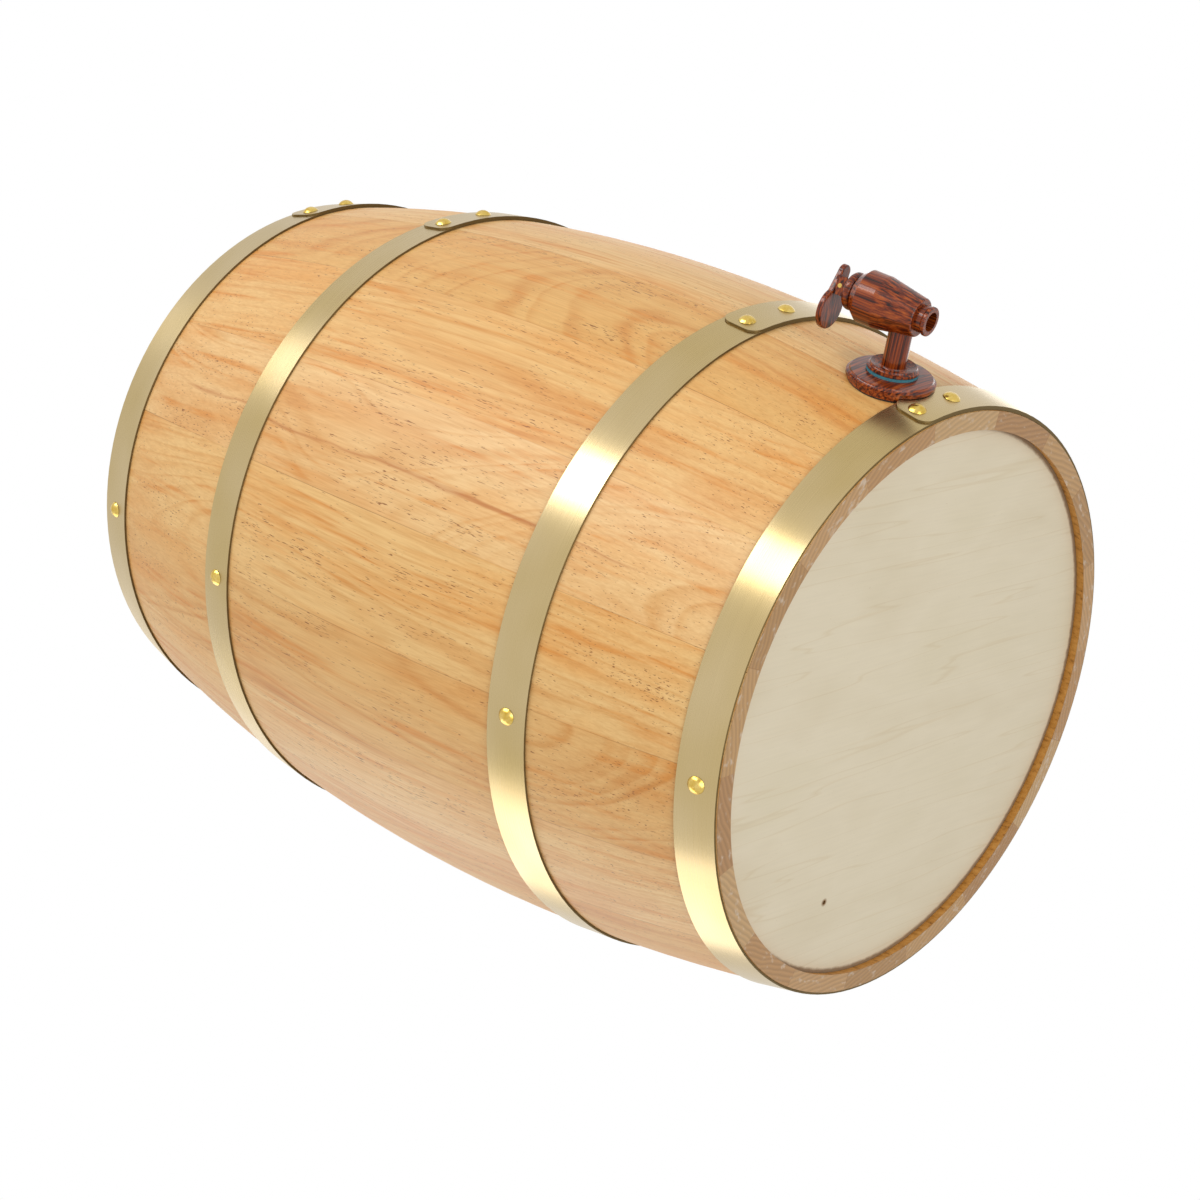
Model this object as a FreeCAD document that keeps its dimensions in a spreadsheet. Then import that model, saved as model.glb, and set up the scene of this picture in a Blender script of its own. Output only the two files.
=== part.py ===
import FreeCAD, Part
import math
import os
import Sketcher

# A small standing cask of softwood staves with a turned wooden tap.
# The barrel's axis is Z, the bottom chime stands on z = 0, and the tap faces -Y.
# Lengths are millimetres and angles are degrees.

DIMENSIONS = (
    # Barrel
    ("cask_height", 424.0),
    ("head_radius", 140.0),          # outside of the staves at the two ends
    ("bilge_radius", 164.4),         # outside of the staves at mid height
    ("stave_wall", 8.5),
    ("stave_count", 18),
    ("first_joint_angle", -5.0),     # a stave joint, measured from the tap towards +X
    ("head_recess", 5.0),
    ("head_thickness", 6.0),
    ("croze_depth", 3.0),
    ("croze_clearance", 0.1),
    ("pilot_radius", 0.9),
    ("pilot_depth", 2.5),
    ("pilot_place_radius", 98.8),
    ("pilot_angle", -148.4),
    # Hoops: lower edge and width of each, from the bottom up
    ("hoop_thickness", 1.0),
    ("hoop_clearance", 0.1),
    ("hoop_low_one", 0.6),
    ("hoop_width_one", 19.2),
    ("hoop_low_two", 96.7),
    ("hoop_width_two", 20.8),
    ("hoop_low_three", 299.0),
    ("hoop_width_three", 19.0),
    ("hoop_low_four", 402.0),
    ("hoop_width_four", 21.4),
    ("lap_angle", -7.6),             # where the lapped end of a hoop stops
    ("lap_corner", 6.0),
    # Rivets
    ("rivet_radius", 4.1),
    ("rivet_height", 2.3),
    ("rivet_shank_radius", 1.5),
    ("rivet_shank_length", 6.0),
    ("rivet_hole_clearance", 0.05),
    ("rivet_lift", 0.08),            # lets the flat underside bear on the curved hoop
    # Inner tank and bung
    ("tank_wall", 0.6),
    ("tank_gap", 0.4),
    ("bung_hole_radius", 20.0),
    ("bung_taper", 0.6),
    ("bung_cap_radius", 25.0),
    ("bung_cap_height", 4.5),
    ("bung_depth", 18.0),
    ("bung_clearance", 0.3),
    # Seat of the tap on the cask
    ("tap_height", 34.9),
    ("tap_ease", 3.44),              # the tap leans this much less than the wall does
    ("tap_turn", 6.0),
    ("tap_axis_height", 33.2),       # from the seat to the axis of the valve body
    ("flange_radius", 20.2),
    ("flange_height", 4.7),          # top of the flange above the seat point
    ("flange_edge", 2.6),            # top of the flange's rim above the seat point
    ("flange_hoop_gap", 0.3),
    ("pad_thickness", 0.9),
    ("pad_inset", 0.5),
    ("ring_radius", 11.7),
    ("ring_height", 1.2),
    ("collar_radius", 11.7),
    ("collar_height", 2.6),
    ("stem_radius", 5.4),
    ("stem_bore_radius", 3.0),
    ("shank_radius", 6.0),
    ("shank_clearance", 0.1),
    ("shank_length", 30.0),          # below the collar, through the wall
    ("washer_thickness", 2.4),
    ("washer_radius", 12.0),
    ("nut_thickness", 7.0),
    ("nut_across_flats", 22.0),
    # Valve body, measured along its own axis from the stem's axis
    ("body_radius", 12.1),
    ("body_shoulder", 20.0),         # top of the straight part
    ("body_top", 23.5),
    ("body_top_radius", 9.4),
    ("body_ridge", 11.5),            # where the taper to the nozzle starts
    ("body_end", 8.2),               # below the stem's axis
    ("body_end_radius", 8.9),
    ("nozzle_end", 13.3),
    ("nozzle_radius", 6.1),
    ("nozzle_bore_radius", 4.4),
    ("chamber_radius", 6.2),
    ("seat_depth", 5.0),             # valve seat below the stem's axis
    ("socket_floor", 0.9),           # wood between the stem's socket and the chamber
    # Bonnet, plunger and spring
    ("bonnet_plug_length", 6.5),
    ("bonnet_clearance", 0.05),
    ("bonnet_neck_radius", 7.6),
    ("bonnet_neck_height", 1.0),
    ("bead_radius", 8.7),
    ("bead_height", 4.0),
    ("rod_radius", 2.5),
    ("running_clearance", 0.05),
    ("ring_section_radius", 0.9),
    ("seal_clearance", 0.6),
    ("seal_thickness", 2.0),
    ("seat_gap", 0.05),              # keeps the seal just clear of its seat
    ("spring_seat_clearance", 1.0),
    ("spring_seat_height", 5.5),
    ("spring_inner_radius", 3.6),
    ("spring_outer_radius", 4.4),
    ("thrust_washer_height", 0.9),
    ("slip_gap", 0.1),
    # Lever
    ("pin_radius", 1.0),
    ("pin_lift", 3.3),               # pin above the underside of the lever's hub
    ("hub_gap", 0.35),
    ("hub_half_length", 4.2),
    ("hub_width", 9.0),
    ("hub_corner", 1.2),
    ("tongue_thickness", 4.0),
    ("slot_clearance", 0.3),
    ("plate_lift", 1.5),             # plate's underside above the pin
    ("plate_thickness", 2.7),
    ("tip_radius", 3.7),
    ("tip_reach", 9.6),
    ("lobe_radius", 9.4),
    ("lobe_reach", 20.3),
    ("lever_neck_half", 5.6),
    ("lever_turn", 22.0),
    ("edge_round", 0.7),
)


class Size:
    """A length with its number and the expression that gives it in the sheet."""

    def __init__(self, number, text):
        self.number = float(number)
        self.text = text

    def joined(self, other, sign, number):
        return Size(number, "(" + self.text + " " + sign + " " + asSize(other).text + ")")

    def __add__(self, other):
        return self.joined(other, "+", self.number + asSize(other).number)

    def __sub__(self, other):
        return self.joined(other, "-", self.number - asSize(other).number)

    def __mul__(self, other):
        return self.joined(other, "*", self.number * asSize(other).number)

    def __truediv__(self, other):
        return self.joined(other, "/", self.number / asSize(other).number)

    def __neg__(self):
        return Size(-self.number, "(0 - " + self.text + ")")

    def root(self):
        return Size(math.sqrt(self.number), "sqrt(" + self.text + ")")


def asSize(value):
    if isinstance(value, Size):
        return value
    return Size(value, repr(float(value)))


doc = FreeCAD.newDocument("cask")
sheet = doc.addObject("Spreadsheet::Sheet", "Dims")
SIZES = {}
for row, (alias, value) in enumerate(DIMENSIONS, start=1):
    sheet.set("A%d" % row, alias.replace("_", " "))
    sheet.set("B%d" % row, str(value))
    sheet.setAlias("B%d" % row, alias)
    SIZES[alias] = Size(value, "Dims." + alias)
doc.recompute()

NODES = {}
ZERO = Size(0.0, "0")


def size(alias):
    return SIZES[alias]


def number(alias):
    return SIZES[alias].number


def bind(thing, field, length):
    thing.setExpression(field, length.text)


def keep(thing, label):
    """Marks a finished piece, which is written to its own file."""
    thing.Label = label
    NODES[label] = thing
    return thing


# Curves of the cask

def arcDrop():
    """Radius of the long arc that the outside of a stave follows from end to end."""
    rise = size("bilge_radius") - size("head_radius")
    half = size("cask_height") / 2
    return (half * half + rise * rise) / (rise * 2)


def wallRadius(height, depth=ZERO):
    """Radius of the wall at a height, at a depth measured from its outside."""
    arc = arcDrop()
    reach = arc - depth
    half = size("cask_height") / 2
    gap = half - height
    return size("bilge_radius") - arc + (reach * reach - gap * gap).root()


def wallSlope(height):
    """Lean of the wall at a height, in degrees."""
    gap = number("cask_height") / 2 - height
    return math.degrees(math.asin(gap / arcDrop().number))


# Drawing helpers

def originPlane(body, role):
    for feature in body.Origin.OriginFeatures:
        if feature.Role == role:
            return feature
    raise RuntimeError("no plane " + role)


def vector(point):
    return FreeCAD.Vector(point[0].number, point[1].number, 0)


def pinPoint(sketch, geometry, place, point, label):
    """Ties a sketch point to the two sizes that give its place."""
    for field, axis, length in (("DistanceX", -2, point[0]), ("DistanceY", -1, point[1])):
        if length is ZERO:
            sketch.addConstraint(Sketcher.Constraint("PointOnObject", geometry, place, axis))
            continue
        index = sketch.addConstraint(
            Sketcher.Constraint(field, -1, 1, geometry, place, length.number))
        name = "%s_%s" % (label, field[-1].lower())
        sketch.renameConstraint(index, name)
        sketch.setExpression("Constraints." + name, length.text)


def arcMiddle(start, end, radius, side):
    """Middle of an arc that bulges to the left (1) or the right (-1) of its way."""
    chord = end - start
    rise = radius.number - math.sqrt(radius.number ** 2 - (chord.Length / 2) ** 2)
    left = FreeCAD.Vector(-chord.y, chord.x, 0) / chord.Length
    return (start + end) / 2 + left * (rise * side)


def outline(body, name, corners, arcs=None, role="XZ_Plane"):
    """Closed sketch through the corners. arcs gives, for an edge, its radius and the
    side that it bulges to, as in arcMiddle."""
    arcs = arcs or {}
    sketch = body.newObject("Sketcher::SketchObject", name)
    sketch.AttachmentSupport = (originPlane(body, role), [""])
    sketch.MapMode = "FlatFace"
    count = len(corners)
    for index in range(count):
        start = vector(corners[index])
        end = vector(corners[(index + 1) % count])
        if index in arcs:
            middle = arcMiddle(start, end, *arcs[index])
            sketch.addGeometry(Part.Arc(start, middle, end), False)
        else:
            sketch.addGeometry(Part.LineSegment(start, end), False)
    ends = []
    for index in range(count):
        start = vector(corners[index])
        first = sketch.getPoint(index, 1)
        flipped = first.distanceToPoint(start) > 1e-6
        ends.append((2, 1) if flipped else (1, 2))
    for index in range(count):
        after = (index + 1) % count
        sketch.addConstraint(Sketcher.Constraint(
            "Coincident", index, ends[index][1], after, ends[after][0]))
    for index in range(count):
        pinPoint(sketch, index, ends[index][0], corners[index], "p%d" % index)
        if index in arcs:
            radius = arcs[index][0]
            place = sketch.addConstraint(Sketcher.Constraint("Radius", index, radius.number))
            sketch.renameConstraint(place, "r%d" % index)
            sketch.setExpression("Constraints.r%d" % index, radius.text)
    return sketch


def turned(name, corners, arcs=None, angle=None):
    """A body turned about its Z axis from a half outline in the XZ plane."""
    body = doc.addObject("PartDesign::Body", name)
    sketch = outline(body, name + "_outline", corners, arcs)
    turn = body.newObject("PartDesign::Revolution", name + "_turn")
    turn.Profile = sketch
    turn.ReferenceAxis = (sketch, ["V_Axis"])
    turn.Angle = 360.0
    if angle is not None:
        turn.Midplane = True
        turn.setExpression("Angle", angle.text)
    body.Tip = turn
    return body


def span(name, kind, frame, place, sizes):
    """A plain solid whose named sizes are bound to the sheet, put in a frame."""
    solid = doc.addObject("Part::" + kind, name)
    for field, length in sizes.items():
        bind(solid, field, asSize(length))
    offset = FreeCAD.Placement(FreeCAD.Vector(*[asSize(value).number for value in place]),
                               FreeCAD.Rotation())
    solid.Placement = frame.multiply(offset)
    return solid


def joined(name, kind, base, tool):
    """Cut, Fuse or Common of two objects."""
    result = doc.addObject("Part::" + kind, name)
    if kind == "Cut" or kind == "Common" or kind == "Fuse":
        result.Base = base
        result.Tool = tool
    return result


def spin(axis, angle):
    return FreeCAD.Placement(FreeCAD.Vector(), FreeCAD.Rotation(FreeCAD.Vector(*axis), angle))


def shift(x, y, z):
    return FreeCAD.Placement(FreeCAD.Vector(x, y, z), FreeCAD.Rotation())


WORLD = FreeCAD.Placement()
HEIGHT = size("cask_height")
WALL = size("stave_wall")


def facing(angle):
    """Frame whose X axis points out of the cask at an angle from the tap towards +X."""
    return spin((0, 0, 1), angle - 90)


# Staves

HEAD_LOW = size("head_recess")
HEAD_HIGH = HEAD_LOW + size("head_thickness")


def staveCorners():
    slack = size("croze_clearance")
    low = HEAD_LOW - slack
    high = HEAD_HIGH + slack
    groove = size("croze_depth")
    rim = wallRadius(ZERO, WALL)
    at_low = wallRadius(low, WALL)
    at_high = wallRadius(high, WALL)
    corners = [
        (size("head_radius"), ZERO),
        (size("head_radius"), HEIGHT),
        (rim, HEIGHT),
        (at_low, HEIGHT - low),
        (at_low + groove, HEIGHT - low),
        (at_high + groove, HEIGHT - high),
        (at_high, HEIGHT - high),
        (at_high, high),
        (at_high + groove, high),
        (at_low + groove, low),
        (at_low, low),
        (rim, ZERO),
    ]
    arcs = {0: (arcDrop(), -1), 6: (arcDrop() - WALL, 1)}
    return corners, arcs


def wallSolid(name, depth, low, high):
    """Solid that fills the cask inside a surface at a depth below the wall's outside."""
    corners = [
        (ZERO, low),
        (wallRadius(low, depth), low),
        (wallRadius(high, depth), high),
        (ZERO, high),
    ]
    return turned(name, corners, {1: (arcDrop() - depth, -1)})


# Where the rivets go: the two of the lap and one at each other quarter of the hoop.
LAP_RIVETS = (-4.9, 5.0)
QUARTER_RIVETS = (-87.5, 92.5, 180.0)
HOOPS = ("one", "two", "three", "four")


def hoopRadius(name, part, layer):
    """Radius of a hoop's inner (0) or outer (1) surface at its low (0) or high (1) edge."""
    height = size("hoop_low_" + name) + size("hoop_width_" + name) * part
    width = size("hoop_width_" + name)
    bulge = width * width / (arcDrop() * 8)
    return wallRadius(height) + bulge + size("hoop_clearance") + size("hoop_thickness") * layer


def lapThickness(angle):
    """How far the lapped layer stands above the hoop below it, at an angle."""
    turn = math.radians(angle - number("lap_angle"))
    if angle < number("lap_angle") or math.cos(turn) < 0.5:
        return 0.0
    return number("hoop_thickness") * (2 * math.cos(turn) - 1)


def rivetFrame(name, angle):
    """Frame of a rivet: Z points out of the hoop and the origin lies on its outside."""
    low = number("hoop_low_" + name)
    middle = low + number("hoop_width_" + name) / 2
    radius = (hoopRadius(name, 0, 1).number + hoopRadius(name, 1, 1).number) / 2
    radius += lapThickness(angle) + number("rivet_lift")
    lean = wallSlope(middle)
    out = facing(angle).multiply(shift(radius, 0, middle))
    return out.multiply(spin((0, 1, 0), 90 + lean))


def rivetTools(name):
    """Holes for every rivet of a hoop, as one group."""
    hole = size("rivet_shank_radius") + size("rivet_hole_clearance")
    deep = size("rivet_shank_length") + size("rivet_hole_clearance")
    cutters = []
    for index, angle in enumerate(LAP_RIVETS + QUARTER_RIVETS):
        frame = rivetFrame(name, angle)
        cutters.append(span("rivet_hole_%s_%d" % (name, index), "Cylinder", frame,
                            (0, 0, -deep.number), {"Radius": hole, "Height": deep * 2}))
    group = doc.addObject("Part::Compound", "rivet_holes_" + name)
    group.Links = cutters
    return group


RIVET_HOLES = {name: rivetTools(name) for name in HOOPS}


# Frames of the tap. Across it X points sideways, Y up the valve and Z out of the cask.

SEAT_RADIUS = wallRadius(size("tap_height"))
TAP = shift(0, -SEAT_RADIUS.number, number("tap_height"))
TAP = TAP.multiply(spin((1, 0, 0), 90 + wallSlope(number("tap_height")) - number("tap_ease")))
TAP = TAP.multiply(spin((0, 0, 1), number("tap_turn")))
# The valve's own frame: Z points up the valve, from the nozzle to the lever.
VALVE = TAP.multiply(shift(0, 0, number("tap_axis_height"))).multiply(spin((1, 0, 0), -90))
# The lever's frame: its tip points to -Y and its lobe to +Y.
LEVER = VALVE.multiply(spin((0, 0, 1), number("lever_turn")))

FLANGE_TOP = size("flange_height")
RING_TOP = FLANGE_TOP + size("ring_height")
SHANK_HOLE = size("shank_radius") + size("shank_clearance")
SHANK_END = RING_TOP - size("shank_length")
TANK_DEPTH = WALL + size("tank_gap")
CAVITY_DEPTH = TANK_DEPTH + size("tank_wall")
NUT_FACE = -CAVITY_DEPTH - size("washer_thickness")

# Everything under this surface, inside the flange's rim, is left to the pad.
PAD_SPACE = wallSolid("pad_space", -size("pad_thickness"), ZERO, HEIGHT)

shank_hole = span("shank_hole", "Cylinder", TAP, (0, 0, SHANK_END),
                  {"Radius": SHANK_HOLE, "Height": size("shank_length")})


def makeStaves():
    count = int(number("stave_count"))
    width = asSize(360.0) / size("stave_count")
    corners, arcs = staveCorners()
    for index in range(count):
        middle = number("first_joint_angle") + width.number * (index + 0.5)
        body = turned("stave_blank_%02d" % (index + 1), corners, arcs, width)
        body.Placement = facing(middle)
        piece = body
        for name in HOOPS:
            piece = joined("stave_%02d_%s" % (index + 1, name), "Cut", piece, RIVET_HOLES[name])
        if abs((middle + 180) % 360 - 180) < width.number * 1.5:
            piece = joined("stave_%02d_bored" % (index + 1), "Cut", piece, shank_hole)
        keep(piece, "stave_%02d" % (index + 1))


# Heads

def headBlank(name, low):
    radius = wallRadius(HEAD_LOW, WALL) + size("croze_depth") - size("croze_clearance") * 2
    return span(name, "Cylinder", WORLD, (0, 0, low),
                {"Radius": radius, "Height": size("head_thickness")})


def makeHeads():
    spot = facing(number("pilot_angle")).multiply(shift(number("pilot_place_radius"), 0, 0))
    pilot = span("pilot_hole", "Cylinder", spot, (0, 0, 0), {
        "Radius": size("pilot_radius"), "Height": HEAD_LOW + size("pilot_depth")})
    bottom = headBlank("bottom_head_blank", HEAD_LOW)
    keep(joined("bottom_head_bored", "Cut", bottom, pilot), "bottom_head")
    top_low = HEIGHT - HEAD_HIGH
    top = headBlank("top_head_blank", top_low)
    mouth = span("bung_hole", "Cylinder", WORLD, (0, 0, top_low), {
        "Radius": size("bung_hole_radius"), "Height": size("head_thickness")})
    keep(joined("top_head_bored", "Cut", top, mouth), "top_head")


# Inner tank and bung

NECK_OUTER = size("bung_hole_radius") - size("tank_gap")
NECK_INNER = NECK_OUTER - size("tank_wall")


def makeTank():
    wall = size("tank_wall")
    low = HEAD_HIGH + size("tank_gap")
    high = HEIGHT - low
    neck_top = HEIGHT - HEAD_LOW
    corners = [
        (ZERO, low),
        (wallRadius(low, TANK_DEPTH), low),
        (wallRadius(low, TANK_DEPTH), high),
        (NECK_OUTER, high),
        (NECK_OUTER, neck_top),
        (NECK_INNER, neck_top),
        (NECK_INNER, high - wall),
        (wallRadius(low + wall, CAVITY_DEPTH), high - wall),
        (wallRadius(low + wall, CAVITY_DEPTH), low + wall),
        (ZERO, low + wall),
    ]
    arcs = {1: (arcDrop() - TANK_DEPTH, -1), 7: (arcDrop() - CAVITY_DEPTH, 1)}
    shell = turned("tank_shell", corners, arcs)
    keep(joined("tank_bored", "Cut", shell, shank_hole), "inner_tank")


def makeBung():
    seat = HEIGHT - HEAD_LOW
    slack = size("bung_clearance")
    cap = size("bung_cap_radius")
    top = seat + size("bung_cap_height")
    round_over = size("bung_cap_height") / 3
    corners = [
        (ZERO, seat - size("bung_depth")),
        (NECK_INNER - slack - size("bung_taper"), seat - size("bung_depth")),
        (NECK_INNER - slack, seat),
        (cap - round_over / 2, seat),
        (cap, seat + round_over),
        (cap, top - round_over),
        (cap - round_over, top),
        (cap * 0.45, top - round_over * 0.4),
        (ZERO, top - round_over * 0.4),
    ]
    arcs = {5: (round_over, 1)}
    keep(turned("bung_turned", corners, arcs), "bung")


# Hoops and their rivets

def hoopCone(name, label, layer, offset=(0, 0), more=ZERO):
    low = size("hoop_low_" + name)
    return span(label + name, "Cone", WORLD, (offset[0], offset[1], low), {
        "Radius1": hoopRadius(name, 0, layer) + more,
        "Radius2": hoopRadius(name, 1, layer) + more,
        "Height": size("hoop_width_" + name)})


def lapBox(name):
    """Block with two rounded corners that the lapped end of a hoop fills."""
    low = number("hoop_low_" + name)
    reach = number("bilge_radius") * 1.1
    start = hoopRadius(name, 0, 1).number * math.sin(math.radians(number("lap_angle")))
    body = doc.addObject("PartDesign::Body", "lap_block_" + name)
    corner = size("lap_corner")
    left = asSize(start)
    right = asSize(reach)
    bottom = size("hoop_low_" + name)
    top = bottom + size("hoop_width_" + name)
    corners = [
        (left + corner, bottom), (right, bottom), (right, top),
        (left + corner, top), (left, top - corner), (left, bottom + corner),
    ]
    sketch = outline(body, "lap_outline_" + name, corners,
                     {3: (corner, -1), 5: (corner, -1)})
    pad = body.newObject("PartDesign::Pad", "lap_pad_" + name)
    pad.Profile = sketch
    pad.Length = reach
    body.Tip = pad
    return body


def makeHoops():
    thick = size("hoop_thickness")
    turn = math.radians(number("lap_angle"))
    ahead = (2 * thick.number * math.sin(turn), -2 * thick.number * math.cos(turn))
    for name in HOOPS:
        inner = hoopCone(name, "hoop_inner_", 0)
        outer = hoopCone(name, "hoop_outer_", 1)
        ring = joined("hoop_ring_" + name, "Cut", outer, inner)
        over = hoopCone(name, "lap_cone_", 1, ahead, -thick)
        under = hoopCone(name, "lap_under_", 1)
        crescent = joined("lap_crescent_" + name, "Cut", over, under)
        lap = joined("lap_" + name, "Common", crescent, lapBox(name))
        whole = joined("hoop_whole_" + name, "Fuse", ring, lap)
        keep(joined("hoop_bored_" + name, "Cut", whole, RIVET_HOLES[name]), "hoop_" + name)


def makeRivets():
    radius = size("rivet_radius")
    height = size("rivet_height")
    shank = size("rivet_shank_radius")
    dome = (radius * radius + height * height) / (height * 2)
    corners = [
        (ZERO, -size("rivet_shank_length")),
        (shank, -size("rivet_shank_length")),
        (shank, ZERO),
        (radius, ZERO),
        (ZERO, height),
    ]
    blank = turned("rivet_blank", corners, {3: (dome, -1)})
    doc.recompute()
    for name in HOOPS:
        copies = []
        for angle in LAP_RIVETS + QUARTER_RIVETS:
            copy = blank.Shape.copy()
            copy.Placement = rivetFrame(name, angle)
            copies.append(copy)
        group = doc.addObject("Part::Feature", "rivets_" + name)
        group.Shape = Part.makeCompound(copies)
        keep(group, "rivets_" + name)


# Tap: what seals and holds it in the wall

def ringOf(name, frame, low, height, outer, inner):
    """A flat ring, as one cylinder cut by another."""
    whole = span(name + "_disc", "Cylinder", frame, (0, 0, low), {"Radius": outer, "Height": height})
    hole = span(name + "_hole", "Cylinder", frame, (0, 0, low), {"Radius": inner, "Height": height})
    return joined(name + "_ring", "Cut", whole, hole)


def makeSeals():
    cask = wallSolid("cask_solid", ZERO, ZERO, HEIGHT)
    cavity = wallSolid("tank_cavity", CAVITY_DEPTH, HEAD_HIGH, HEIGHT - HEAD_HIGH)
    pad = ringOf("pad", TAP, -WALL, WALL + FLANGE_TOP, size("flange_radius") - size("pad_inset"),
                 SHANK_HOLE)
    pad = joined("pad_under_flange", "Common", pad, PAD_SPACE)
    pad = joined("pad_on_wall", "Cut", pad, cask)
    pad = joined("pad_on_hoop", "Cut", pad, NODES["hoop_one"])
    keep(pad, "wall_gasket")
    keep(ringOf("seal_ring", TAP, FLANGE_TOP, size("ring_height"), size("ring_radius"), SHANK_HOLE),
         "collar_gasket")
    washer = ringOf("washer", TAP, NUT_FACE, CAVITY_DEPTH + size("washer_thickness"),
                    size("washer_radius"), SHANK_HOLE)
    keep(joined("washer_on_tank", "Common", washer, cavity), "tank_washer")


def makeNut():
    flats = size("nut_across_flats") / 2
    prism = span("nut_prism", "Prism", TAP, (0, 0, NUT_FACE - size("nut_thickness")), {
        "Circumradius": flats * 2 / asSize(3.0).root(), "Height": size("nut_thickness")})
    prism.Polygon = 6
    hole = span("nut_hole", "Cylinder", TAP, (0, 0, NUT_FACE - size("nut_thickness")), {
        "Radius": SHANK_HOLE, "Height": size("nut_thickness")})
    keep(joined("nut_bored", "Cut", prism, hole), "lock_nut")


def makeFlange():
    rim = size("flange_radius")
    edge = size("flange_edge")
    corners = [
        (SHANK_HOLE, -WALL),
        (rim - 0.4, -WALL),
        (rim, -WALL + 0.4),
        (rim, edge),
        (rim - 1.6, FLANGE_TOP - 0.5),
        (size("ring_radius") + 0.6, FLANGE_TOP),
        (SHANK_HOLE, FLANGE_TOP),
    ]
    body = turned("flange_turned", corners, {3: (asSize(2.0), 1)})
    body.Placement = TAP
    clear = size("hoop_thickness") + size("flange_hoop_gap")
    hoop_space = hoopCone("one", "flange_room_", 1, more=clear)
    piece = joined("flange_on_pad", "Cut", body, PAD_SPACE)
    keep(joined("flange_over_hoop", "Cut", piece, hoop_space), "tap_flange")


STEM_TOP = size("tap_axis_height") - size("chamber_radius") - size("socket_floor")


def makeStem():
    collar = size("collar_radius")
    stem = size("stem_radius")
    bore = size("stem_bore_radius")
    rise = size("collar_height")
    top = RING_TOP + rise
    corners = [
        (bore, SHANK_END),
        (size("shank_radius") - 0.6, SHANK_END),
        (size("shank_radius"), SHANK_END + 0.6),
        (size("shank_radius"), RING_TOP),
        (collar - 0.4, RING_TOP),
        (collar, RING_TOP + 0.4),
        (collar, RING_TOP + rise * 0.5),
        (collar - rise * 0.5, top),
        (collar - rise, top - rise * 0.25),
        (stem + 1.2, RING_TOP + rise * 0.35),
        (stem, RING_TOP + rise * 0.8),
        (stem, STEM_TOP),
        (bore, STEM_TOP),
    ]
    arcs = {6: (rise * 0.5, 1), 9: (rise * 0.6, 1)}
    body = turned("stem_turned", corners, arcs)
    body.Placement = TAP
    keep(body, "tap_stem")


# Valve: body, bonnet and what moves in them

BODY_TOP = size("body_top")
PLUG_LOW = BODY_TOP - size("bonnet_plug_length")
BEAD_LOW = BODY_TOP + size("bonnet_neck_height")
BONNET_TOP = BEAD_LOW + size("bead_height")
ROD_HOLE = size("rod_radius") + size("running_clearance")
POCKET_HEIGHT = size("ring_section_radius") * 2 + size("slip_gap")
POCKET_RADIUS = ROD_HOLE + size("ring_section_radius") * 2 + size("running_clearance")
SEAL_LOW = -size("seat_depth")
SEAL_FOOT = SEAL_LOW + size("seat_gap")
SEAL_TOP = SEAL_FOOT + size("seal_thickness")
SEAL_RADIUS = size("chamber_radius") - size("seal_clearance")
SPRING_SEAT = size("chamber_radius") - size("spring_seat_clearance")
THRUST_TOP = PLUG_LOW - size("slip_gap")
THRUST_LOW = THRUST_TOP - size("thrust_washer_height")
PIN_HEIGHT = BONNET_TOP + size("hub_gap") + size("pin_lift")
PLATE_LOW = PIN_HEIGHT + size("plate_lift")


def makeValveBody():
    end = -size("nozzle_end")
    nozzle = size("nozzle_radius")
    bore = size("nozzle_bore_radius")
    corners = [
        (bore, end),
        (nozzle, end),
        (nozzle + 0.6, end + 0.6),
        (nozzle + 0.6, end + 1.4),
        (nozzle, end + 2.2),
        (nozzle, -size("body_end")),
        (size("body_end_radius") - 1.0, -size("body_end")),
        (size("body_end_radius"), -size("body_end") + 1.0),
        (size("body_radius"), size("body_ridge")),
        (size("body_radius"), size("body_shoulder")),
        (size("body_top_radius"), BODY_TOP),
        (size("chamber_radius"), BODY_TOP),
        (size("chamber_radius"), SEAL_LOW),
        (bore, SEAL_LOW),
    ]
    arcs = {1: (asSize(0.6), -1), 6: (asSize(1.0), -1)}
    body = turned("valve_turned", corners, arcs)
    body.Placement = VALVE
    socket = span("stem_socket", "Cylinder", TAP, (0, 0, RING_TOP), {
        "Radius": size("stem_radius") + size("running_clearance"), "Height": STEM_TOP - RING_TOP})
    inlet = span("stem_inlet", "Cylinder", TAP, (0, 0, RING_TOP), {
        "Radius": size("stem_bore_radius"), "Height": size("tap_axis_height") - RING_TOP})
    piece = joined("valve_socketed", "Cut", body, socket)
    keep(joined("valve_bored", "Cut", piece, inlet), "valve_body")


def makeBonnet():
    neck = size("bonnet_neck_radius")
    swell = size("bead_radius") - neck
    half = size("bead_height") / 2
    bead = (half * half + swell * swell) / (swell * 2)
    plug = size("chamber_radius") - size("bonnet_clearance")
    corners = [
        (POCKET_RADIUS, PLUG_LOW),
        (plug, PLUG_LOW),
        (plug, BODY_TOP),
        (neck, BODY_TOP),
        (neck, BEAD_LOW),
        (neck, BONNET_TOP),
        (ROD_HOLE, BONNET_TOP),
        (ROD_HOLE, PLUG_LOW + POCKET_HEIGHT),
        (POCKET_RADIUS, PLUG_LOW + POCKET_HEIGHT),
    ]
    body = turned("bonnet_turned", corners, {4: (bead, -1)})
    body.Placement = VALVE
    keep(body, "bonnet")
    ring = doc.addObject("Part::Torus", "rod_seal_torus")
    bind(ring, "Radius1", ROD_HOLE + size("ring_section_radius"))
    bind(ring, "Radius2", size("ring_section_radius"))
    middle = PLUG_LOW + POCKET_HEIGHT / 2
    ring.Placement = VALVE.multiply(shift(0, 0, middle.number))
    keep(ring, "rod_seal")


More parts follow.
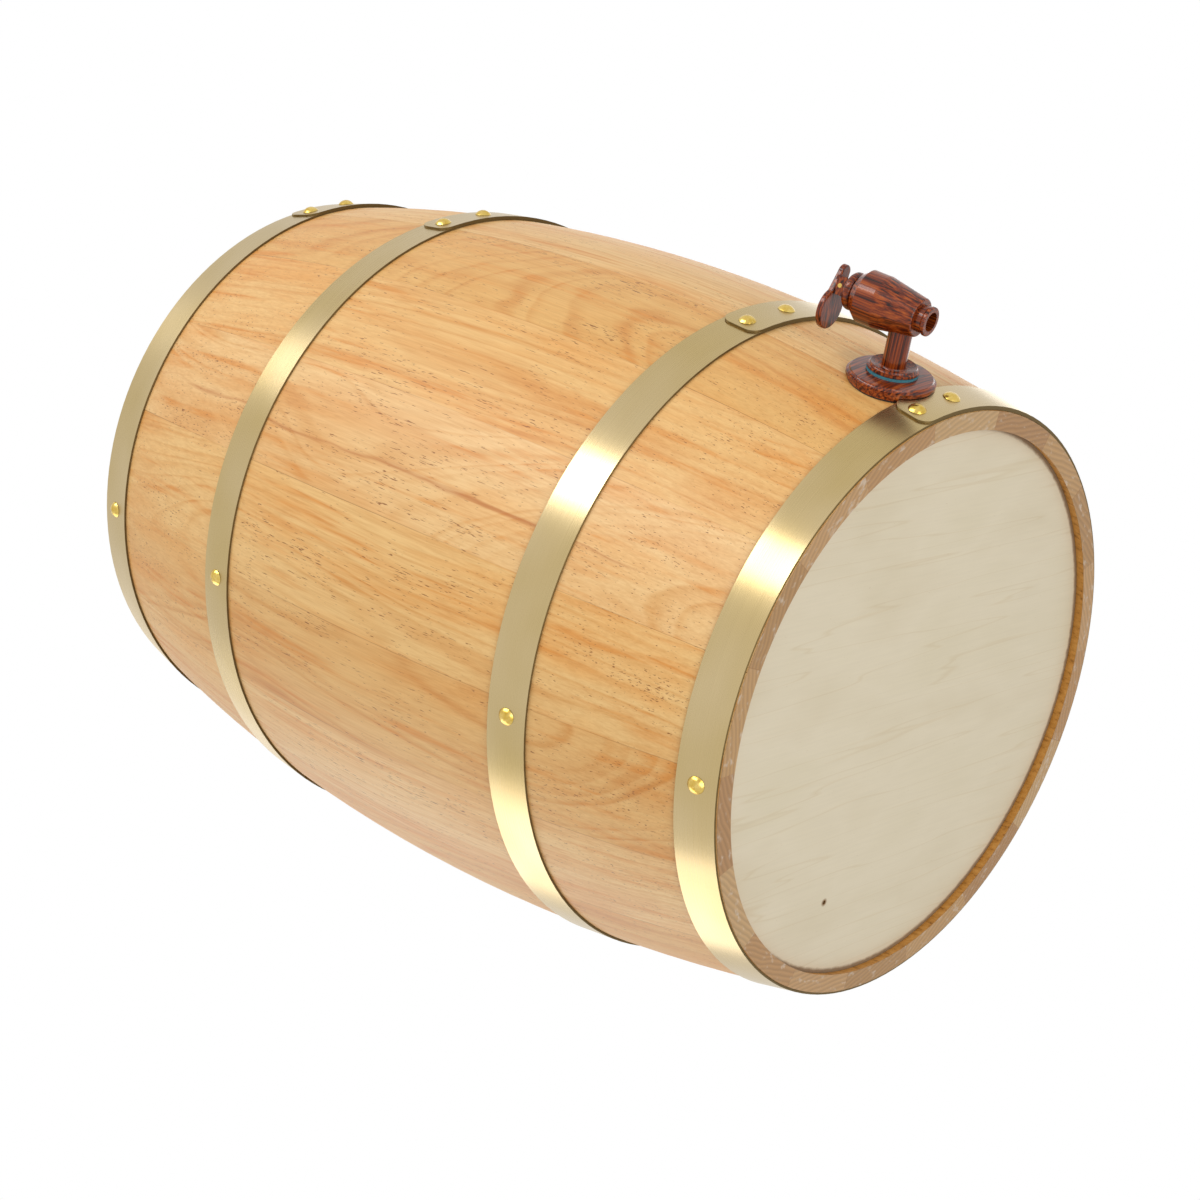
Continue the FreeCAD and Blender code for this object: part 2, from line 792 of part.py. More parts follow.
def crossBore(name, length, radius):
    """Cylinder along the lever's pin."""
    frame = LEVER.multiply(shift(-length.number / 2, 0, PIN_HEIGHT.number))
    return span(name, "Cylinder", frame.multiply(spin((0, 1, 0), 90)), (0, 0, 0),
                {"Radius": radius, "Height": length})


def makePlunger():
    rod = size("rod_radius")
    seat = size("spring_seat_height")
    top = PIN_HEIGHT + size("plate_lift") - size("slip_gap")
    corners = [
        (ZERO, SEAL_TOP),
        (SEAL_RADIUS - 0.4, SEAL_TOP),
        (SEAL_RADIUS - 0.4, SEAL_TOP + 1.2),
        (rod, SEAL_TOP + 1.2),
        (rod, seat - 1.2),
        (SPRING_SEAT, seat - 1.2),
        (SPRING_SEAT, seat),
        (rod, seat),
        (rod, top),
        (ZERO, top),
    ]
    body = turned("plunger_turned", corners)
    body.Placement = LEVER
    low = PIN_HEIGHT - size("pin_lift") - size("hub_half_length") / 2
    flat = size("tongue_thickness") / 2
    piece = body
    for side in (-1, 1):
        start = flat.number if side > 0 else -2 * rod.number
        cheek = span("tongue_flat_%d" % (side + 1), "Box", LEVER, (start, -2 * rod.number, low), {
            "Length": rod * 2 - flat, "Width": rod * 4, "Height": top - low + 1.0})
        piece = joined("tongue_cut_%d" % (side + 1), "Cut", piece, cheek)
    hole = crossBore("tongue_hole", size("hub_width"),
                     size("pin_radius") + size("running_clearance"))
    keep(joined("tongue_bored", "Cut", piece, hole), "plunger")
    seal = span("valve_seal_disc", "Cylinder", LEVER, (0, 0, SEAL_FOOT), {
        "Radius": SEAL_RADIUS, "Height": size("seal_thickness")})
    keep(seal, "valve_seal")


def makeSpring():
    keep(ringOf("spring", VALVE, size("spring_seat_height"),
                THRUST_LOW - size("spring_seat_height"),
                size("spring_outer_radius"), size("spring_inner_radius")), "return_spring")
    keep(ringOf("thrust", VALVE, THRUST_LOW, size("thrust_washer_height"),
                size("chamber_radius") - 0.3, ROD_HOLE + size("running_clearance")),
         "thrust_washer")


def plateBody():
    tip = size("tip_radius")
    tip_y = -(size("tip_reach") - tip)
    lobe = size("lobe_radius")
    lobe_y = size("lobe_reach") - lobe
    neck = size("lever_neck_half")
    neck_y = lobe_y - (lobe * lobe - neck * neck).root()
    corners = [
        (-tip, tip_y), (ZERO, tip_y - tip), (tip, tip_y),
        (neck, neck_y), (ZERO, lobe_y + lobe), (-neck, neck_y),
    ]
    arcs = {0: (tip, -1), 1: (tip, -1), 3: (lobe, -1), 4: (lobe, -1)}
    body = doc.addObject("PartDesign::Body", "plate")
    sketch = outline(body, "plate_outline", corners, arcs, "XY_Plane")
    pad = body.newObject("PartDesign::Pad", "plate_pad")
    pad.Profile = sketch
    bind(pad, "Length", size("plate_thickness"))
    body.Tip = pad
    doc.recompute()
    rims = ["Edge%d" % (index + 1) for index, edge in enumerate(pad.Shape.Edges)
            if abs(edge.BoundBox.ZLength) < 1e-6]
    rounding = body.newObject("PartDesign::Fillet", "plate_rounding")
    rounding.Base = (pad, rims)
    bind(rounding, "Radius", size("edge_round"))
    body.Tip = rounding
    body.Placement = LEVER.multiply(shift(0, 0, PLATE_LOW.number))
    return body


def hubBody():
    half = size("hub_half_length")
    low = BONNET_TOP + size("hub_gap")
    corner = size("hub_corner")
    top = PLATE_LOW + size("plate_thickness") / 2
    corners = [
        (-half + corner, low), (half - corner, low), (half, low + corner),
        (half, top), (-half, top), (-half, low + corner),
    ]
    body = doc.addObject("PartDesign::Body", "hub")
    sketch = outline(body, "hub_outline", corners,
                     {1: (corner, -1), 5: (corner, -1)}, "YZ_Plane")
    pad = body.newObject("PartDesign::Pad", "hub_pad")
    pad.Profile = sketch
    pad.Midplane = True
    bind(pad, "Length", size("hub_width"))
    body.Tip = pad
    body.Placement = LEVER
    return body


def makeLever():
    whole = joined("lever_whole", "Fuse", plateBody(), hubBody())
    slot = size("tongue_thickness") + size("slot_clearance") * 2
    low = BONNET_TOP
    clearance = size("rod_radius") + size("slot_clearance") * 2
    under = span("lever_slot", "Box", LEVER,
                 (-slot.number / 2, -size("hub_half_length").number, low), {
                     "Length": slot, "Width": size("hub_half_length") * 2, "Height": PLATE_LOW - low})
    through = span("lever_slot_through", "Box", LEVER,
                   (-slot.number / 2, -clearance.number, low), {
                       "Length": slot, "Width": clearance * 2,
                       "Height": PLATE_LOW + size("plate_thickness") - low})
    piece = joined("lever_slotted", "Cut", whole, under)
    piece = joined("lever_slotted_through", "Cut", piece, through)
    grip = size("pin_radius") + size("running_clearance") / 2
    hole = crossBore("lever_hole", size("hub_width"), grip)
    keep(joined("lever_bored", "Cut", piece, hole), "lever")
    keep(crossBore("lever_pin_rod", size("hub_width"), size("pin_radius")), "lever_pin")


def checkAll():
    doc.recompute()
    failed = []
    for thing in doc.Objects:
        if "Invalid" in thing.State or "Error" in thing.State:
            failed.append(thing.Name)
    for label, thing in NODES.items():
        if thing.Shape.isNull() or not thing.Shape.isValid() or thing.Shape.Volume <= 0:
            failed.append(label)
    if failed:
        raise RuntimeError("failed: " + " ".join(failed))


def writeAll():
    os.makedirs("parts", exist_ok=True)
    for label, thing in NODES.items():
        thing.Shape.exportStep("parts/%s.step" % label)
        print("%-16s %2d solids %10.2f mm3" % (label, len(thing.Shape.Solids), thing.Shape.Volume))
    print(len(NODES), "nodes")


makeStaves()
makeHeads()
makeTank()
makeBung()
makeHoops()
makeRivets()
makeSeals()
makeNut()
makeFlange()
makeStem()
makeValveBody()
makeBonnet()
makePlunger()
makeSpring()
makeLever()
checkAll()
writeAll()
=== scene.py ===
import bpy
import bmesh
import math
from functools import partial
from mathutils import Matrix, Vector

# Small pine cask with a rosewood tap. It stands on z = 0 and the tap faces -Y.

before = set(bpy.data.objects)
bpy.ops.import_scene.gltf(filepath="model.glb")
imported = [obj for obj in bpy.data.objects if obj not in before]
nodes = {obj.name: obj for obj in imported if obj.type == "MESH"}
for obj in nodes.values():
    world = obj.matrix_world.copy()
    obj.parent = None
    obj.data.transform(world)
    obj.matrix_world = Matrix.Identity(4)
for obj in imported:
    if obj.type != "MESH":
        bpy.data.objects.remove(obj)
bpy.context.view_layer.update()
mm = 0.001
metresToMm = (1000.0, 1000.0, 1000.0)   # turns Object coordinates into millimetres
withoutHeight = (1.0, 1.0, 0.0)         # multiplies the height out of a place
print("frame loaded")

# The cask's own sizes, in millimetres and degrees
cask = {
    "height": 424.0,
    "endRadius": 140.0,
    "bellyRadius": 164.4,
    "staveWall": 8.5,
    "staveCount": 18,
    "firstJoint": -5.0,     # from the tap to the first joint, anticlockwise from above
    "hoops": ("one", "two", "three", "four"),
}


def wallRadius(height, depth):
    # the staves bend on one arc, and depth counts inwards from their outside
    drop = cask["bellyRadius"] - cask["endRadius"]
    arc = ((cask["height"] / 2) ** 2 + drop ** 2) / (2 * drop)
    gap = cask["height"] / 2 - height
    return cask["bellyRadius"] - arc + math.sqrt((arc - depth) ** 2 - gap ** 2)


# Colours and nodes

def hexColour(text):
    parts = [int(text[place:place + 2], 16) / 255 for place in (1, 3, 5)]
    linear = [part / 12.92 if part <= 0.04045 else ((part + 0.055) / 1.055) ** 2.4
              for part in parts]
    return (*linear, 1.0)


def grey(value):
    return (value, value, value, 1.0)


def colourStops(places, colours):
    return [(place, hexColour(colour)) for place, colour in zip(places, colours)]


def greyStops(*pairs):
    return [(place, grey(value)) for place, value in pairs]


def per(sizes):
    # pattern scale from sizes in millimetres
    return tuple(1.0 / size for size in sizes)


def fillInputs(tree, node, inputs):
    # a socket is linked, and a plain value is set on the input itself
    for key, value in inputs.items():
        if isinstance(value, bpy.types.NodeSocket):
            tree.links.new(value, node.inputs[key])
        else:
            node.inputs[key].default_value = value


def addNode(tree, kind, inputs=None, out=0, stops=(), **settings):
    # one node with its settings, inputs and colour stops, given back as its output
    node = tree.nodes.new("ShaderNode" + kind)
    for key, value in settings.items():
        setattr(node, key, value)
    fillInputs(tree, node, inputs or {})
    for count, (place, colour) in enumerate(stops):
        if count > 1:
            node.color_ramp.elements.new(place)
        node.color_ramp.elements[count].position = place
        node.color_ramp.elements[count].color = colour
    return node.outputs[out]


def newMaterial(name):
    material = bpy.data.materials.new(name)
    material.use_nodes = True
    tree = material.node_tree
    return material, tree, tree.nodes["Principled BSDF"], partial(addNode, tree)


# Pine: planed and sealed softwood. The eye sees pale yellow-orange boards with soft darker
# late wood running along them, orange flames of resin and short brown pore ticks.
pine = {
    # six kinds of board, which take turns round the cask
    "kindStep": 5,
    "firstKind": 2,
    "early": ("#E6BD7E", "#E1B575", "#E8C184", "#DFB16E", "#E4B97A", "#E7BF85"),
    "late": ("#D59E58", "#D0954F", "#D8A35F", "#CC8E49", "#D39954", "#D6A15E"),
    "endGrain": ("#BC9464", "#AE8458", "#C29E70", "#B68C5E", "#BE9668", "#B0885A"),
    "ring": (3.0, 4.4, 2.5, 3.7, 5.2, 2.8),              # mm between late wood rings
    "pithDepth": (52.0, 90.0, 36.0, 96.0, 44.0, 78.0),   # mm under the board's middle
    "pithSide": (42.0, -26.0, 64.0, 20.0, -54.0, 33.0),  # mm to one side of it
    "lean": (0.03, -0.06, 0.025, 0.075, -0.04, 0.05),    # pith's slope along the board
    # colours that all boards share
    "tone": ("#F0D4B2", "#FFFFFF", "#FADFBA"),           # multiplied over the board
    "flame": "#D68F42",
    "fibre": ("#DDC9AE", "#FFFFFF"),                     # multiplied over the board
    "pore": "#855024",
    "vein": "#B0692F",
    "seam": "#8A5A2C",
    "glue": "#D2C6B6",
    # painted shade of the short inner wall outside each head
    "chime": ("#8E5A22", "#C88C3E", "#DDA355"),
    # sizes in millimetres across, into and along a board
    "apart": (37.0, 0.0, 613.0),            # from one board's pattern to the next one's
    "wanderReach": (34.0, 62.0, 0.0),       # how far the pith drifts
    "wobbleReach": 4.0,                     # how far a ring waves
    "unevenReach": 7.0,                     # how far the rings' spacing varies
    "unevenWidth": 6.25,                    # over what distance it varies
    "arcWidth": 2.6,                        # between two rings on the rim
    "arcReach": 6.0,                        # how far such a ring waves
    "chimeHeight": 6.0,                     # where the inner wall outside a head is measured
    "chimeMargin": 0.6,                     # added to its radius, so that all of it counts
    "rimMargin": 0.2,                       # from a stave's flat end, still end grain
    "seamHalfWidth": 0.22,                  # dark line on each side of a joint
    "veined": {15: -5.0},                   # stave_16: from its middle to a red vein
    "veinReach": 26.0,                      # how far the vein waves
    "relief": 0.12,                         # depth of the surface's bumps
    "patterns": {
        "wander": (150.0, 150.0, 260.0),    # slow drift of the pith
        "wobble": (24.0, 24.0, 90.0),       # small waves in a ring
        "patch": (34.0, 34.0, 170.0),       # where late wood shows strongly
        "drift": (26.0, 26.0, 230.0),       # broad change of tone
        "flame": (6.5, 22.0, 125.0),
        "fibre": (0.55, 0.55, 45.0),        # bundles, because single fibres wouldn't show
        "mottle": (1.1, 1.1, 24.0),
        "pore": (0.46, 0.46, 6.0),          # ticks drawn a little wide, so that they show
        "poreField": (13.0, 13.0, 60.0),    # where the ticks gather
        "glue": (6.0, 3.5, 5.0),
        # mottle of the painted shade on the inner wall outside each head
        "chimeShadeMottle": (2.0, 2.0, 8.0),
        "joint": (60.0, 60.0, 110.0),       # where a joint is open or tight
    },
    # shares and slopes, which have no unit
    "toneStrength": 0.8,
    "flameFloor": 0.4,                      # of a flame between the late wood
    "fibreStrength": 0.5,
    "poreGather": 0.34,
    "arcSlope": 0.35,
    "arcStrength": 0.85,
    "lateRelief": 0.4,
}


def makePine(index, turn):
    material, tree, shader, add = newMaterial("pineStave%02d" % (index + 1))
    kind = (index * pine["kindStep"] + pine["firstKind"]) % len(pine["early"])
    point = add("Mapping", {"Vector": add("TexCoord", out="Object"), "Scale": metresToMm,
                            "Rotation": (0.0, 0.0, turn)})
    board = add("VectorMath", {0: point, 1: tuple(part * index for part in pine["apart"])})
    at = {key: add("Mapping", {"Vector": board, "Scale": per(sizes)})
          for key, sizes in pine["patterns"].items()}
    across, inward, height = [add("SeparateXYZ", {"Vector": point}, axis) for axis in "XYZ"]

    # distance from the pith, which lies under the board, leans and wanders slowly
    wander = add("TexNoise", {"Vector": at["wander"], "Scale": 1.0, "Detail": 1.0}, "Color")
    drifted = add("VectorMath", {0: wander, 1: pine["wanderReach"],
                                 2: tuple(-part / 2 for part in pine["wanderReach"])},
                  operation="MULTIPLY_ADD")
    wobble = add("TexNoise", {"Vector": at["wobble"], "Scale": 1.0, "Detail": 2.0})
    depth = add("Math", {0: height, 1: pine["lean"][kind], 2: pine["pithDepth"][kind]},
                operation="MULTIPLY_ADD")
    side = add("Math", {0: across, 1: pine["pithSide"][kind]})
    away = add("VectorMath", {0: add("CombineXYZ", {"X": side, "Y": depth}), 1: drifted})
    away = add("VectorMath", {0: away, 1: withoutHeight}, operation="MULTIPLY")
    reach = add("VectorMath", {0: away}, "Value", operation="LENGTH")
    uneven = add("TexNoise", {"W": reach, "Scale": 1.0 / pine["unevenWidth"], "Detail": 2.0},
                 noise_dimensions="1D")
    rings = add("Math", {0: wobble, 1: pine["wobbleReach"], 2: reach}, operation="MULTIPLY_ADD")
    rings = add("Math", {0: uneven, 1: pine["unevenReach"], 2: rings}, operation="MULTIPLY_ADD")
    rings = add("Math", {0: rings, 1: pine["ring"][kind]}, operation="DIVIDE")
    ring = add("Math", {0: rings}, operation="FRACT")

    # late wood darkens over a ring and ends sharply, and it shows strongly in patches
    late = add("ValToRGB", {"Fac": ring},
               stops=greyStops((0.0, 0.12), (0.1, 0.0), (0.5, 0.16), (0.82, 0.85), (0.9, 0.7),
                               (1.0, 0.12)))
    patch = add("TexNoise", {"Vector": at["patch"], "Scale": 1.0, "Detail": 3.0,
                             "Roughness": 0.55})
    shown = add("MapRange", {"Value": patch, "From Min": 0.3, "From Max": 0.68,
                             "To Min": 0.22, "To Max": 1.0})
    bold = add("MapRange", {"Value": uneven, "From Min": 0.3, "From Max": 0.7,
                            "To Min": 0.45, "To Max": 1.15})
    strength = add("Math", {0: shown, 1: late}, operation="MULTIPLY")
    strength = add("Math", {0: strength, 1: bold}, operation="MULTIPLY")
    colour = add("Mix", {0: strength, 6: hexColour(pine["early"][kind]),
                         7: hexColour(pine["late"][kind])}, 2, data_type="RGBA")

    # broad drift of tone along the board
    drift = add("TexNoise", {"Vector": at["drift"], "Scale": 1.0, "Detail": 3.0,
                             "Roughness": 0.6})
    tone = add("ValToRGB", {"Fac": drift}, stops=colourStops((0.3, 0.5, 0.72), pine["tone"]))
    colour = add("Mix", {0: pine["toneStrength"], 6: colour, 7: tone}, 2, data_type="RGBA",
                 blend_type="MULTIPLY")

    # flames of resin, which follow the late wood and fade along the board
    flame = add("TexNoise", {"Vector": at["flame"], "Scale": 1.0, "Detail": 4.0,
                             "Roughness": 0.6})
    flameMask = add("MapRange", {"Value": flame, "From Min": 0.51, "From Max": 0.66,
                                 "To Max": 0.9}, interpolation_type="SMOOTHSTEP")
    edged = add("Math", {0: late, 1: 1.0 - pine["flameFloor"], 2: pine["flameFloor"]},
                operation="MULTIPLY_ADD")
    flamed = add("Math", {0: flameMask, 1: edged}, operation="MULTIPLY")
    colour = add("Mix", {0: flamed, 6: colour, 7: hexColour(pine["flame"])}, 2,
                 data_type="RGBA")

    # fine fibres and mottle
    fibre = add("TexNoise", {"Vector": at["fibre"], "Scale": 1.0, "Detail": 4.0,
                             "Roughness": 0.65})
    mottle = add("TexNoise", {"Vector": at["mottle"], "Scale": 1.0, "Detail": 3.0,
                              "Roughness": 0.6})
    mean = add("Math", {0: add("Math", {0: fibre, 1: mottle}), 1: 0.5}, operation="MULTIPLY")
    fibreTone = add("ValToRGB", {"Fac": mean}, stops=colourStops((0.34, 0.58), pine["fibre"]))
    colour = add("Mix", {0: pine["fibreStrength"], 6: colour, 7: fibreTone}, 2,
                 data_type="RGBA", blend_type="MULTIPLY")

    # pore ticks
    pores = add("TexNoise", {"Vector": at["pore"], "Scale": 1.0, "Detail": 1.0,
                             "Roughness": 0.5})
    field = add("TexNoise", {"Vector": at["poreField"], "Scale": 1.0, "Detail": 2.0})
    gathered = add("Math", {0: field, 1: pine["poreGather"], 2: pores},
                   operation="MULTIPLY_ADD")
    poreMask = add("MapRange", {"Value": gathered, "From Min": 0.872, "From Max": 0.905,
                                "To Max": 0.9})
    colour = add("Mix", {0: poreMask, 6: colour, 7: hexColour(pine["pore"])}, 2,
                 data_type="RGBA")

    if index in pine["veined"]:
        # one red vein of resin, ragged and tapering
        ragged = add("Math", {0: wobble, 1: pine["veinReach"],
                              2: -pine["veinReach"] / 2 - pine["veined"][index]},
                     operation="MULTIPLY_ADD")
        offset = add("Math", {0: add("Math", {0: across, 1: ragged})}, operation="ABSOLUTE")
        width = add("MapRange", {"Value": flame, "From Min": 0.40, "From Max": 0.66,
                                 "To Max": 1.9})
        vein = add("Math", {0: width, 1: offset}, operation="SUBTRACT")
        veinMask = add("MapRange", {"Value": vein, "From Min": -0.5, "From Max": 1.2,
                                    "To Max": 0.7})
        colour = add("Mix", {0: veinMask, 6: colour, 7: hexColour(pine["vein"])}, 2,
                     data_type="RGBA")

    # end grain on the rim: arcs across the thickness, with pale smears of glue
    sweep = add("Math", {0: across, 1: pine["arcSlope"], 2: inward}, operation="MULTIPLY_ADD")
    sweep = add("Math", {0: wobble, 1: pine["arcReach"], 2: sweep}, operation="MULTIPLY_ADD")
    arcs = add("Math", {0: sweep, 1: pine["arcWidth"]}, operation="DIVIDE")
    arcs = add("Math", {0: arcs}, operation="FRACT")
    endTone = add("ValToRGB", {"Fac": arcs}, stops=greyStops((0.0, 0.72), (0.6, 1.0),
                                                             (1.0, 0.72)))
    endColour = add("Mix", {0: pine["arcStrength"], 6: hexColour(pine["endGrain"][kind]),
                            7: endTone}, 2, data_type="RGBA", blend_type="MULTIPLY")
    glue = add("TexNoise", {"Vector": at["glue"], "Scale": 1.0, "Detail": 3.0,
                            "Roughness": 0.6})
    glueMask = add("MapRange", {"Value": glue, "From Min": 0.58, "From Max": 0.7,
                                "To Max": 0.5})
    endColour = add("Mix", {0: glueMask, 6: endColour, 7: hexColour(pine["glue"])}, 2,
                    data_type="RGBA")

    # the short inner wall outside each head is painted darker and mottled: painted shade in the
    # recess
    level = add("VectorMath", {0: point, 1: withoutHeight}, operation="MULTIPLY")
    radius = add("VectorMath", {0: level}, "Value", operation="LENGTH")
    chimeRadius = wallRadius(pine["chimeHeight"], cask["staveWall"]) + pine["chimeMargin"]
    inside = add("Math", {0: radius, 1: chimeRadius}, operation="LESS_THAN")
    chimeShadeMottle = add("TexNoise", {"Vector": at["chimeShadeMottle"], "Scale": 1.0, "Detail": 4.0,
                           "Roughness": 0.65})
    chime = add("ValToRGB", {"Fac": chimeShadeMottle}, stops=colourStops((0.3, 0.45, 0.7), pine["chime"]))
    colour = add("Mix", {0: inside, 6: colour, 7: chime}, 2, data_type="RGBA")
    centred = add("Math", {0: height, 1: cask["height"] / 2}, operation="SUBTRACT")
    fromMiddle = add("Math", {0: centred}, operation="ABSOLUTE")
    atEnd = add("Math", {0: fromMiddle, 1: cask["height"] / 2 - pine["rimMargin"]},
                operation="GREATER_THAN")
    colour = add("Mix", {0: atEnd, 6: colour, 7: endColour}, 2, data_type="RGBA")

    # dark line where two staves meet, faint where the joint is tight
    front = add("Math", {0: inward}, operation="ABSOLUTE")
    angle = add("Math", {0: across, 1: front}, operation="ARCTAN2")
    angle = add("Math", {0: angle}, operation="ABSOLUTE")
    short = add("Math", {0: math.pi / cask["staveCount"], 1: angle}, operation="SUBTRACT")
    gap = add("Math", {0: short, 1: radius}, operation="MULTIPLY")
    tight = add("TexNoise", {"Vector": at["joint"], "Scale": 1.0, "Detail": 2.0})
    openJoint = add("MapRange", {"Value": tight, "From Min": 0.48, "From Max": 0.70,
                                 "To Min": 0.10, "To Max": 0.8})
    seam = add("Math", {0: gap, 1: pine["seamHalfWidth"]}, operation="LESS_THAN")
    seam = add("Math", {0: seam, 1: openJoint}, operation="MULTIPLY")
    colour = add("Mix", {0: seam, 6: colour, 7: hexColour(pine["seam"])}, 2,
                 data_type="RGBA")

    relief = add("Math", {0: late, 1: pine["lateRelief"], 2: fibre}, operation="MULTIPLY_ADD")
    relief = add("Math", {0: relief, 1: poreMask}, operation="SUBTRACT")
    bump = add("Bump", {"Height": relief, "Strength": 0.25, "Distance": pine["relief"] * mm},
               "Normal")
    fillInputs(tree, shader, {"Base Color": colour, "Roughness": 0.45,
                              "Specular IOR Level": 0.35, "Normal": bump})
    return material


# Birch plywood: rotary-peeled face. The eye sees pale grey-cream with faint long grain.
plywood = {
    "tones": ("#D6C9AD", "#DCD0B6", "#D8CCB0"),
    "line": "#E9DCC4",                  # multiplied over the sheet
    "fleck": "#A98E62",
    # painted shade in the corner where the head meets the staves
    "cornerShade": "#6E4A22",
    "pilotSpot": "#7A5424",
    "grainStrength": 0.4,
    "lineStrength": 0.28,
    "lineCount": 8.0,                   # lines from the lowest to the highest wave
    "grainAngle": 7.0,                  # degrees from X to the grain
    "rim": 130.5,                       # mm: the painted shade in the corner starts here
    "rimWidth": 1.4,                    # mm
    "rimReach": 1.6,                    # mm: how ragged the painted shade is
    "rimField": (4.0, 4.0, 4.0),        # mm
    "pilot": (98.8, -148.4, 5.0),       # mm from the middle, degrees from the tap, mm up
    "relief": 0.1,                      # mm
    "patterns": {                       # mm along and across the grain
        "clouds": (100.0, 45.0, 50.0),
        "grain": (34.0, 1.3, 2.5),
        "waves": (520.0, 24.0, 30.0),
        "flecks": (3.2, 0.55, 1.0),
    },
}


def makePlywood(name, drilled):
    material, tree, shader, add = newMaterial(name)
    plain = add("Mapping", {"Vector": add("TexCoord", out="Object"), "Scale": metresToMm})
    grainTurn = (0.0, 0.0, -math.radians(plywood["grainAngle"]))
    sheet = add("Mapping", {"Vector": plain, "Rotation": grainTurn})
    at = {key: add("Mapping", {"Vector": sheet, "Scale": per(sizes)})
          for key, sizes in plywood["patterns"].items()}
    clouds = add("TexNoise", {"Vector": at["clouds"], "Scale": 1.0, "Detail": 3.0,
                              "Roughness": 0.55})
    colour = add("ValToRGB", {"Fac": clouds},
                 stops=colourStops((0.3, 0.5, 0.7), plywood["tones"]))
    grain = add("TexNoise", {"Vector": at["grain"], "Scale": 1.0, "Detail": 4.0,
                             "Roughness": 0.6})
    grainTone = add("ValToRGB", {"Fac": grain}, stops=greyStops((0.3, 0.92), (0.6, 1.0)))
    colour = add("Mix", {0: plywood["grainStrength"], 6: colour, 7: grainTone}, 2,
                 data_type="RGBA", blend_type="MULTIPLY")

    # a few long lines where the peeling knife crossed a ring
    waves = add("TexNoise", {"Vector": at["waves"], "Scale": 1.0, "Detail": 3.0})
    lines = add("Math", {0: waves, 1: plywood["lineCount"]}, operation="MULTIPLY")
    lines = add("Math", {0: lines}, operation="FRACT")
    line = hexColour(plywood["line"])
    lineTone = add("ValToRGB", {"Fac": lines}, stops=((0.0, line), (0.05, grey(1.0)),
                                                      (0.94, grey(1.0)), (1.0, line)))
    colour = add("Mix", {0: plywood["lineStrength"], 6: colour, 7: lineTone}, 2,
                 data_type="RGBA", blend_type="MULTIPLY")
    flecks = add("TexNoise", {"Vector": at["flecks"], "Scale": 1.0, "Detail": 2.0})
    fleckMask = add("MapRange", {"Value": flecks, "From Min": 0.7, "From Max": 0.78,
                                 "To Max": 0.32})
    colour = add("Mix", {0: fleckMask, 6: colour, 7: hexColour(plywood["fleck"])}, 2,
                 data_type="RGBA")

    # painted shade in the corner where the head meets the staves
    level = add("VectorMath", {0: plain, 1: withoutHeight}, operation="MULTIPLY")
    radius = add("VectorMath", {0: level}, "Value", operation="LENGTH")
    rimField = add("Mapping", {"Vector": plain, "Scale": per(plywood["rimField"])})
    ragged = add("TexNoise", {"Vector": rimField, "Scale": 1.0, "Detail": 3.0,
                              "Roughness": 0.6})
    reach = add("Math", {0: ragged, 1: plywood["rimReach"], 2: radius},
                operation="MULTIPLY_ADD")
    cornerShadeMask = add("MapRange", {"Value": reach, "From Min": plywood["rim"],
                               "From Max": plywood["rim"] + plywood["rimWidth"],
                               "To Max": 0.75})
    colour = add("Mix", {0: cornerShadeMask, 6: colour, 7: hexColour(plywood["cornerShade"])}, 2,
                 data_type="RGBA")
    if drilled:
        # a darker brown spot round the pilot hole
        away, angle, up = plywood["pilot"]
        angle = math.radians(angle)
        hole = (away * math.sin(angle), -away * math.cos(angle), up)
        distance = add("VectorMath", {0: plain, 1: hole}, "Value", operation="DISTANCE")
        pilotSpotMask = add("MapRange", {"Value": distance, "From Min": 2.3, "From Max": 0.9})
        colour = add("Mix", {0: pilotSpotMask, 6: colour, 7: hexColour(plywood["pilotSpot"])}, 2,
                     data_type="RGBA")

    bump = add("Bump", {"Height": grain, "Strength": 0.2,
                        "Distance": plywood["relief"] * mm}, "Normal")
    fillInputs(tree, shader, {"Base Color": colour, "Roughness": 0.62,
                              "Specular IOR Level": 0.3, "Normal": bump})
    return material


# Beech of the bung, turned and left plain. The eye sees warm tan with short darker flecks.
beech = {
    "tones": ("#CDA072", "#DCB488", "#D4A97B"),
    "fleck": "#A06C42",
    "grain": (30.0, 2.2, 2.2),          # mm
    "flecks": (2.6, 0.5, 0.5),          # mm
    "relief": 0.1,                      # mm
}


def makeBeech():
    material, tree, shader, add = newMaterial("turnedBeech")
    point = add("Mapping", {"Vector": add("TexCoord", out="Object"), "Scale": metresToMm})
    grainPlace = add("Mapping", {"Vector": point, "Scale": per(beech["grain"])})
    grain = add("TexNoise", {"Vector": grainPlace, "Scale": 1.0, "Detail": 4.0,
                             "Roughness": 0.6, "Distortion": 0.3})
    colour = add("ValToRGB", {"Fac": grain},
                 stops=colourStops((0.3, 0.5, 0.7), beech["tones"]))
    fleckPlace = add("Mapping", {"Vector": point, "Scale": per(beech["flecks"])})
    flecks = add("TexNoise", {"Vector": fleckPlace, "Scale": 1.0, "Detail": 1.0})
    fleckMask = add("MapRange", {"Value": flecks, "From Min": 0.62, "From Max": 0.72,
                                 "To Max": 0.7})
    colour = add("Mix", {0: fleckMask, 6: colour, 7: hexColour(beech["fleck"])}, 2,
                 data_type="RGBA")
    bump = add("Bump", {"Height": grain, "Strength": 0.2, "Distance": beech["relief"] * mm},
               "Normal")
    fillInputs(tree, shader, {"Base Color": colour, "Roughness": 0.5,
                              "Specular IOR Level": 0.35, "Normal": bump})
    return material


# Brass-plated steel strap, brushed along its length. The eye sees fine long lines and a
# highlight that runs across the strap.
strapLook = {
    "brass": ("#BDA672", "#C7B287"),
    # cut edges: darker where the plating stops, with painted shade of the gap along the strap's
    # edges
    "cutEdgeAndShade": "#7A6640",
    "cutRoughness": 0.6,
    "lineStrength": 0.8,
    "lines": (90.0, 90.0, 0.16),        # mm: brush lines, drawn coarser than real ones
    "patch": (70.0, 70.0, 50.0),        # mm
    "relief": 0.03,                     # mm
}


